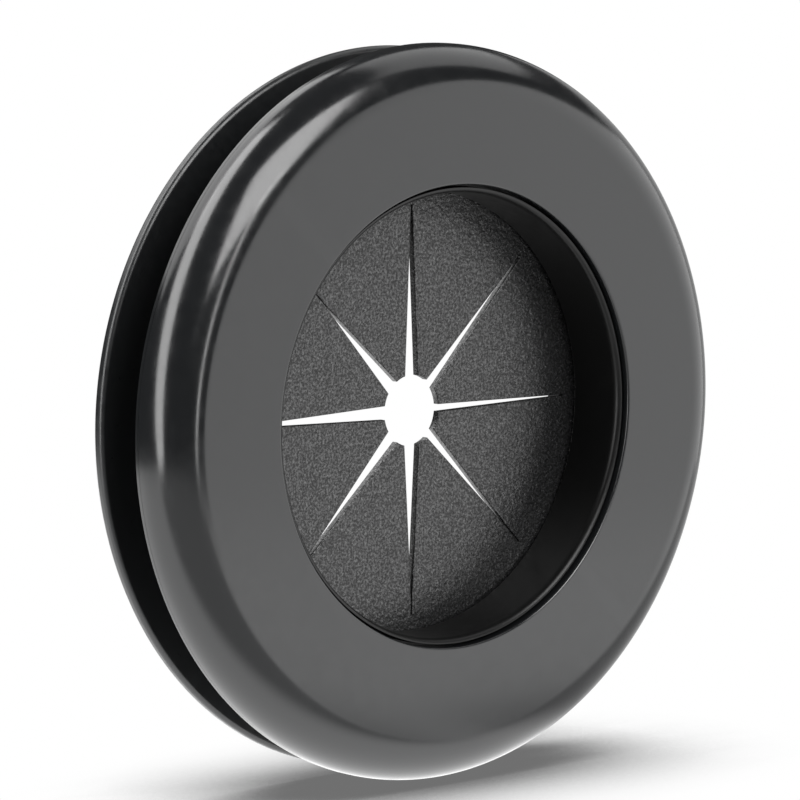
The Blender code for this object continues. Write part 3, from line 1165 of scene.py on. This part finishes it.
@dataclass
class Membrane:
    """Rubber membrane: a clamped rim and eight petals that bend from it between the slits."""

    hub: float = 3.9
    slit_end: float = 22.5
    edge_round: float = 0.06
    columns: int = 96
    rows: int = 112
    arc_rows: int = 3
    wall_rows: int = 2
    bend_length: float = 4.5
    clamp_inner: float = 24.35
    clamp_front: float = 2.12
    clamp_rear: float = 3.48
    bead_step: float = 0.2
    rim_rows: int = 18
    grain_size: float = 0.42
    grain_depth: float = 0.035
    grain_seed: float = 3.0
    rear_grain: float = 0.8
    face_tolerance: float = 0.003

    def __post_init__(self) -> None:
        """Read the membrane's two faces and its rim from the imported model."""
        low, high = millimetres("membrane_rim")
        self.front, self.rear, self.outer = low.y, high.y, high.x
        self.half_petal = pi / len(SLITS)
        self.root = self.slit_end * cos(self.half_petal)

    def slit_edge(self, slit: Slit, side: int, inset: float, share: np.ndarray) -> np.ndarray:
        """Points along one edge of a slit, from the petal's root to the hub.

        Args:
            slit: The slit.
            side: 1 for the edge counter-clockwise of it, -1 for the other.
            inset: Distance kept from the edge, towards the petal.
            share: Place of each point, 0 at the root and 1 at the hub.

        Returns:
            Rows of (x, z) in millimetres.
        """
        root = self.root / cos(self.half_petal)
        for _ in range(4):
            half = slit.half_width(root, self.hub) + inset
            root = (self.root - half * sin(self.half_petal)) / cos(self.half_petal)
        hub_edge = self.hub + inset
        half = slit.half_width(self.hub, self.hub) + inset
        tip = sqrt(hub_edge**2 - half**2)
        distance = root + (tip - root) * share
        half = slit.half_width(distance, self.hub) + inset
        along = np.array([cos(slit.angle), sin(slit.angle)])
        aside = np.array([-sin(slit.angle), cos(slit.angle)]) * side
        return distance[:, None] * along + np.asarray(half)[:, None] * aside

    def sheet(self, number: int, inset: float) -> np.ndarray:
        """Grid of points over one petal.

        Args:
            number: The petal's number, from 1.
            inset: Distance kept from the slits and the hub.

        Returns:
            Rows from root to hub, columns from slit to slit, each an (x, z) in millimetres.
        """
        share = np.linspace(0.0, 1.0, self.rows + 1)
        near = self.slit_edge(SLITS[number - 1], 1, inset, share)
        far = self.slit_edge(SLITS[number % len(SLITS)], -1, inset, share)
        across = np.linspace(0.0, 1.0, self.columns + 1)[None, :, None]
        grid = near[:, None, :] * (1.0 - across) + far[:, None, :] * across
        reach = np.linalg.norm(grid, axis=-1, keepdims=True)
        edge_reach = reach[:, :1] * (1.0 - across) + reach[:, -1:] * across
        curved = grid * edge_reach / reach
        return grid + (curved - grid) * (share**3)[:, None, None]

    def petal(self, number: int) -> Piece:
        """Build one petal, with rounded slit edges and a flat root that meets the rim.

        Args:
            number: The petal's number, from 1.

        Returns:
            The petal, marked for its grain.
        """
        inner, true = self.sheet(number, self.edge_round), self.sheet(number, 0.0)
        side = [(i, self.columns) for i in range(self.rows + 1)]
        tip = [(self.rows, j) for j in range(self.columns - 1, -1, -1)]
        back = [(i, 0) for i in range(self.rows - 1, -1, -1)]
        chain = side + tip + back
        rim_in = np.array([inner[i, j] for i, j in chain])
        rim_out = np.array([true[i, j] for i, j in chain])
        quarter = [pi / 2.0 * k / self.arc_rows for k in range(1, self.arc_rows + 1)]
        bands = [(sin(q), self.front + self.edge_round * (1.0 - cos(q))) for q in quarter]
        wall_front, wall_rear = self.front + self.edge_round, self.rear - self.edge_round
        for k in range(1, self.wall_rows + 1):
            bands.append((1.0, wall_front + (wall_rear - wall_front) * k / self.wall_rows))
        bands += [(cos(q), self.rear - self.edge_round * (1.0 - sin(q))) for q in quarter[:-1]]

        def level(points: np.ndarray, depth: float) -> np.ndarray:
            """Give flat (x, z) points a depth."""
            flat = points.reshape(-1, 2)
            return np.column_stack([flat[:, 0], np.full(len(flat), depth), flat[:, 1]])

        layers = [level(inner, self.front)]
        layers += [level(rim_in + (rim_out - rim_in) * out, depth) for out, depth in bands]
        layers.append(level(inner, self.rear))
        starts = np.cumsum([0] + [len(layer) for layer in layers[:-1]])
        grid = np.arange(inner.shape[0] * inner.shape[1]).reshape(inner.shape[:2])
        faces = []
        for start in (0, int(starts[-1])):
            quads = np.stack([grid[:-1, :-1], grid[1:, :-1], grid[1:, 1:], grid[:-1, 1:]], axis=-1)
            faces += (quads.reshape(-1, 4) + start).tolist()
        loops = [[int(grid[i, j]) for i, j in chain]]
        loops += [list(range(int(s), int(s) + len(chain))) for s in starts[1:-1]]
        loops.append([int(starts[-1]) + int(grid[i, j]) for i, j in chain])
        for upper, lower in zip(loops[:-1], loops[1:]):
            for k in range(len(chain) - 1):
                faces.append([upper[k], upper[k + 1], lower[k + 1], lower[k]])
        root = [int(k) for k in grid[0]]
        root += [loop[0] for loop in loops[1:-1]]
        root += [int(starts[-1]) + int(k) for k in grid[0, ::-1]]
        root += [loop[-1] for loop in loops[-2:0:-1]]
        faces.append(root)
        vertices = np.concatenate(layers) * MM
        petal = solid_from(f"membrane_petal_{number}", vertices, faces)
        return self.grained(petal)

    def rim(self) -> Piece:
        """Build the rim, whose inner side meets each petal's root point for point.

        Returns:
            The rim, marked for its grain.
        """
        inner = []
        for number in range(1, len(SLITS) + 1):
            eased, true = self.sheet(number, self.edge_round)[0], self.sheet(number, 0.0)[0]
            inner += [true[0], *eased, true[-1]]
            following = SLITS[number % len(SLITS)].angle
            end = self.slit_end + self.edge_round
            inner.append(np.array([cos(following), sin(following)]) * end)
        points = np.array(inner)
        angles = np.arctan2(points[:, 1], points[:, 0])
        outward = np.column_stack([np.cos(angles), np.sin(angles)])
        bead_start = self.clamp_inner - self.bead_step
        faces = ((self.front, self.clamp_front, 1.0), (self.rear, self.clamp_rear, -1.0))
        front_side, rear_side = (self.rim_side(bead_start, *face) for face in faces)
        layers = []
        for share, radius, depth in front_side + rear_side[::-1]:
            flat = points + (outward * radius - points) * share
            layers.append(np.column_stack([flat[:, 0], np.full(len(flat), depth), flat[:, 1]]))
        vertices = np.stack(layers, axis=1)
        quads = closed_grid_faces(*vertices.shape[:2])
        rim = solid_from("membrane_rim_moulding", vertices.reshape(-1, 3) * MM, quads)
        return self.grained(rim)

    def rim_side(
        self, bead_start: float, face: float, clamp_face: float, inward: float
    ) -> list[tuple[float, float, float]]:
        """One side of the rim's section, from its inner edge over the clamp bead to its outer edge.

        Args:
            bead_start: Radius at which the bead starts to rise, in millimetres.
            face: Depth of the membrane's face on this side.
            clamp_face: Depth of the bead's top.
            inward: 1 where depth grows into the rubber, -1 where it shrinks.

        Returns:
            For each point, its share of the way out from the inner edge, the radius at the end of
            that way, and its depth.
        """
        flat = [(row / self.rim_rows, bead_start, face) for row in range(self.rim_rows)]
        clamp, outer, step = self.clamp_inner, self.outer, self.bead_step
        bead = (
            (bead_start, face),
            (clamp - 0.02, face - 0.04 * inward),
            (clamp + 0.06, clamp_face + 0.05 * inward),
            (clamp + step, clamp_face),
            (outer - step, clamp_face),
            (outer - 0.05, clamp_face + 0.06 * inward),
            (outer, face),
        )
        return flat + [(1.0, radius, depth) for radius, depth in bead]

    def grained(self, obj: Piece) -> Piece:
        """Mark where a piece takes the spark grain, forwards on its front and less on its rear.

        Args:
            obj: The rim or a petal.

        Returns:
            The same object with the point attribute that the grain's tree reads.
        """
        mesh = obj.data
        places = np.zeros(len(mesh.vertices) * 3)
        mesh.vertices.foreach_get("co", places)
        depth = places.reshape(-1, 3)[:, 1] / MM
        grain = np.where(np.abs(depth - self.front) < self.face_tolerance, -1.0, 0.0)
        grain += np.where(np.abs(depth - self.rear) < self.face_tolerance, self.rear_grain, 0.0)
        mask = mesh.attributes.new("grain", "FLOAT", "POINT")
        mask.data.foreach_set("value", grain.astype(np.float32))
        return obj

    def build(self, grain: Tree, material: Finish) -> list[Piece]:
        """Build the rim and the petals; each petal's root meets the rim's inner side.

        Args:
            grain: The tree that raises the grain.
            material: The rubber's finish.

        Returns:
            The rim and the eight petals.
        """
        settings = {
            "Grain Size": self.grain_size * MM,
            "Depth": self.grain_depth * MM,
            "Seed": self.grain_seed,
            "Material": material,
        }
        rim = finished(run_tree(self.rim(), grain, settings), material)
        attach(rim, "housing")
        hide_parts("membrane_rim")
        made = [rim]
        for number in range(1, len(SLITS) + 1):
            petal = finished(run_tree(self.petal(number), grain, settings), material)
            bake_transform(petal)
            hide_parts(f"petal_{number}")
            made.append(petal)
        return made


@dataclass
class Retainer:
    """Retainer that is snapped in behind the membrane and presses its rim on the ledge."""

    wall: float = 1.95
    outer: float = 26.3
    bead_front: float = 5.9
    bead_rear: float = 6.7
    steps: int = 256
    notch_count: int = 4
    notch_depth: float = 0.9
    notch_half_width: float = 1.6
    notch_ease: float = 0.2

    def build(self, copies: Tree, material: Finish) -> Piece:
        """Build the retainer with the notches that a blade lifts it out by.

        Args:
            copies: The tree that repeats a block round the axis.
            material: The retainer's finish.

        Returns:
            The finished piece.
        """
        low, high = millimetres("membrane_retainer")
        front, rear, bead = low.y, high.y, high.x
        inner = self.outer - self.wall
        corners = [
            Corner(inner, front, 0.3),
            Corner(self.outer, front, 0.15),
            Corner(self.outer, self.bead_front, 0.08),
            Corner(bead, self.bead_front, 0.1),
            Corner(bead, self.bead_rear - 0.4, 0.1),
            Corner(self.outer, self.bead_rear, 0.1),
            Corner(self.outer, rear, 0.3),
            Corner(inner, rear, 0.3),
        ]
        ring = turned("retainer_ring", eased_profile(corners), self.steps)
        blade = block(
            "retainer_notch",
            inner - 1.0,
            inner + 1.0,
            rear - self.notch_depth,
            rear + 1.0,
            self.notch_half_width,
            self.notch_ease,
        )
        notches = round_the_axis(blade, copies, self.notch_count, 0.0, material)
        combined(ring, (notches,), "DIFFERENCE")
        retainer = finished(joined("retainer_moulding", [ring]), material)
        retainer.data.set_sharp_from_angle(angle=SHARP_EDGE)
        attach(retainer, "housing")
        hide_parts("membrane_retainer")
        return retainer


@dataclass
class LockingRing:
    """Thin rear flange that turns on the barrel's lugs to clamp the panel."""

    bore: float = 28.5
    land: float = 30.3
    land_step: float = 0.3
    edge_round: float = 0.55
    notch_reach: float = 30.0
    notch_half_angle: float = radians(12.2)
    notch_angles: tuple[float, ...] = (radians(5.0), radians(95.0), radians(185.0), radians(275.0))
    slot_reach: float = 29.6
    slot_half_angle: float = radians(24.2)
    slot_angles: tuple[float, ...] = (radians(-35.0), radians(145.0))
    side_width: float = 0.35
    steps: int = 900
    row_step: float = 0.26
    flute_count: int = 36
    flute_middle: float = 35.9
    flute_half_length: float = 1.5
    flute_half_width: float = 1.25
    flute_depth: float = 0.32
    pin_count: int = 8
    pin_radius: float = 31.8
    pin_size: float = 1.8
    pin_proud: float = 0.04

    def radius_at(self, radii: np.ndarray, angles: np.ndarray) -> np.ndarray:
        """Radii of the section's points at each angle, wider in the notches and the stop slots.

        Args:
            radii: The section's radii at every angle, in metres.
            angles: The angles, as a column.

        Returns:
            The radii with the inner zone pushed out where it is cut away.
        """
        reach = np.full(angles.shape, self.bore)
        soft = self.side_width / self.bore
        cuts = [(angle, self.notch_half_angle, self.notch_reach) for angle in self.notch_angles]
        cuts += [(angle, self.slot_half_angle, self.slot_reach) for angle in self.slot_angles]
        for centre, half, depth in cuts:
            aside = np.abs((angles - centre + pi) % (2.0 * pi) - pi)
            share = np.clip((half + soft / 2.0 - aside) / soft, 0.0, 1.0)
            share = share * share * (3.0 - 2.0 * share)
            reach = np.maximum(reach, self.bore + (depth - self.bore) * share)
        inner_share = np.clip((self.land - radii / MM) / (self.land - self.bore), 0.0, 1.0)
        return radii + inner_share * (reach - self.bore) * MM

    def build(self, copies: Tree, flutes: Tree, material: Finish) -> Piece:
        """Build the ring with its notches, stop slots, finger flutes and pin marks.

        Args:
            copies: The tree that repeats a block round the axis.
            flutes: The tree that sinks the finger flutes.
            material: The ring's finish.

        Returns:
            The finished piece.
        """
        low, high = millimetres("rear_locking_ring")
        front, rear, rim = low.y, high.y, high.x
        corners = [
            Corner(self.bore, front + self.land_step, 0.12),
            Corner(self.land, front + self.land_step, 0.05),
            Corner(self.land, front, 0.12),
            Corner(rim, front, self.edge_round),
            Corner(rim, rear, self.edge_round),
        ]
        reach = self.flute_half_length + self.flute_half_width + 2.0 * self.row_step
        rows = round(2.0 * reach / self.row_step)
        corners += [
            Corner(self.flute_middle + reach - 2.0 * reach * k / rows, rear) for k in range(rows + 1)
        ]
        corners.append(Corner(self.bore, rear, 0.2))
        shell = turned("ring_shell", eased_profile(corners), self.steps, self.radius_at)
        run_tree(
            shell,
            flutes,
            {
                "Count": self.flute_count,
                "Middle Radius": self.flute_middle * MM,
                "Half Length": self.flute_half_length * MM,
                "Half Width": self.flute_half_width * MM,
                "Depth": self.flute_depth * MM,
                "Rear Face": rear * MM,
                "Material": material,
            },
        )
        pin = pad("ring_pin_mark", self.pin_radius, rear, self.pin_size, self.pin_proud)
        pins = round_the_axis(pin, copies, self.pin_count, pi / 8.0, material)
        ring = finished(joined("locking_ring_moulding", [shell, pins]), material)
        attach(ring, "locking_ring")
        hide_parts("rear_locking_ring")
        return ring


# ---------------------------------------------------------------------------------------------
# The studio
# ---------------------------------------------------------------------------------------------


def towards(azimuth: float, elevation: float) -> Vector:
    """Unit vector to a place seen at an azimuth and elevation, in degrees; azimuth 0 is -Y."""
    a, e = radians(azimuth), radians(elevation)
    return Vector((sin(a) * cos(e), -cos(a) * cos(e), sin(e)))


@dataclass(frozen=True)
class SoftBox:
    """A rectangular studio light that faces the grommet.

    Angles are in degrees and lengths in metres. It leans by a turn about its own facing direction.
    """

    name: str
    azimuth: float
    elevation: float
    distance: float
    width: float
    height: float
    power: float
    lean: float = 0.0

    def place(self) -> Piece:
        """Hang the light in the scene.

        Returns:
            The light's object.
        """
        lamp = bpy.data.lights.new(self.name, "AREA")
        lamp.shape = "RECTANGLE"
        lamp.size, lamp.size_y = self.width, self.height
        lamp.energy = self.power
        obj = link(bpy.data.objects.new(self.name, lamp))
        direction = towards(self.azimuth, self.elevation)
        obj.location = direction * self.distance
        obj.rotation_mode = "QUATERNION"
        lean = Quaternion((0.0, 0.0, 1.0), radians(self.lean))
        obj.rotation_quaternion = direction.to_track_quat("Z", "Y") @ lean
        obj.visible_camera = False
        return obj


@dataclass
class Studio:
    """Table top, white surroundings and the camera.

    Aims are in millimetres, the focal length too, and other lengths in metres.
    """

    floor_radius: float = 0.20
    floor_sides: int = 128
    ambient: float = 0.05
    camera_azimuth: float = -41.93
    camera_elevation: float = 6.84
    camera_distance: float = 0.5
    lens: float = 209.3
    aim_aside: float = -6.54
    aim_up: float = 1.83

    def floor(self, material: Finish) -> Piece:
        """Lay the floor under the grommet's rim.

        Args:
            material: The floor's finish.

        Returns:
            The floor.
        """
        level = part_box("front_bezel")[0].z
        angles = [2.0 * pi * k / self.floor_sides for k in range(self.floor_sides)]
        rim = [(self.floor_radius * cos(a), self.floor_radius * sin(a), level) for a in angles]
        mesh = bpy.data.meshes.new("floor")
        mesh.from_pydata(rim, [], [tuple(range(self.floor_sides))])
        floor = link(bpy.data.objects.new("floor", mesh))
        floor.data.materials.append(material)
        return floor

    def surroundings(self) -> None:
        """Make the surroundings white to look at, and dim as a source of light."""
        world = bpy.data.worlds.new("white_studio")
        world.use_nodes = True
        bpy.context.scene.world = world
        tree = world.node_tree
        tree.nodes.clear()
        path = add_node(tree, "ShaderNodeLightPath")
        glow = add_node(
            tree,
            "ShaderNodeMapRange",
            inputs={"Value": path.outputs["Is Camera Ray"], "To Min": self.ambient},
        )
        background = add_node(
            tree,
            "ShaderNodeBackground",
            inputs={"Color": (1.0, 1.0, 1.0, 1.0), "Strength": glow},
        )
        add_node(tree, "ShaderNodeOutputWorld", inputs={0: background})

    def camera(self) -> Piece:
        """Set up the camera in front of the grommet, to its left and a little above it.

        Returns:
            The camera's object.
        """
        face_middle = Vector((0.0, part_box("front_bezel")[0].y, 0.0))
        back = towards(self.camera_azimuth, self.camera_elevation)
        view = (-back).to_track_quat("-Z", "Y")
        place = face_middle + back * self.camera_distance
        aim = face_middle + view @ Vector((self.aim_aside * MM, self.aim_up * MM, 0.0))
        lens = bpy.data.cameras.new("camera")
        lens.lens = self.lens
        lens.sensor_width = 36.0
        lens.clip_start = 0.02
        obj = link(bpy.data.objects.new("camera", lens))
        obj.location = place
        obj.rotation_mode = "QUATERNION"
        obj.rotation_quaternion = (aim - place).to_track_quat("-Z", "Y")
        bpy.context.scene.camera = obj
        return obj


SOFT_BOXES = (
    SoftBox("strip_left", -98.8, 33.4, 0.60, 0.22, 1.50, 7.9, lean=29.5),
    SoftBox("box_front_top", -1.0, 40.0, 0.80, 0.52, 0.55, 7.6),
    SoftBox("strip_front", 8.0, 8.0, 0.80, 0.07, 0.50, 0.8),
    SoftBox("panel_front_right", 62.0, 0.0, 0.80, 1.00, 0.58, 3.4),
    SoftBox("box_top_right", 95.0, 52.0, 0.80, 0.70, 0.50, 1.5),
    SoftBox("box_rear", -168.0, 42.0, 0.80, 0.90, 0.45, 3.2),
    SoftBox("fill_right", 110.0, 5.0, 0.80, 0.50, 0.50, 0.5),
)


def main() -> None:
    """Build the grommet's pieces in order, then the studio round them."""
    logging.basicConfig(level=logging.INFO, format="%(name)s %(message)s")
    bpy.context.scene.view_settings.view_transform = "Standard"
    copies, grain, flutes = ring_of_copies_tree(), spark_grain_tree(), finger_flutes_tree()
    pieces = [
        FrontBezel().build(copies, SATIN_ABS.material()),
        Barrel().build(copies, MATT_ABS_WITH_BORE_SHADE.material()),
        *Membrane().build(grain, MEMBRANE_RUBBER.material()),
        Retainer().build(copies, MATT_NYLON.material()),
        LockingRing().build(copies, flutes, RING_ABS.material()),
    ]
    for piece in pieces:
        report(piece)
    studio = Studio()
    studio.floor(LightTable().material())
    studio.surroundings()
    for box in SOFT_BOXES:
        box.place()
    studio.camera()


if __name__ == "__main__":
    main()
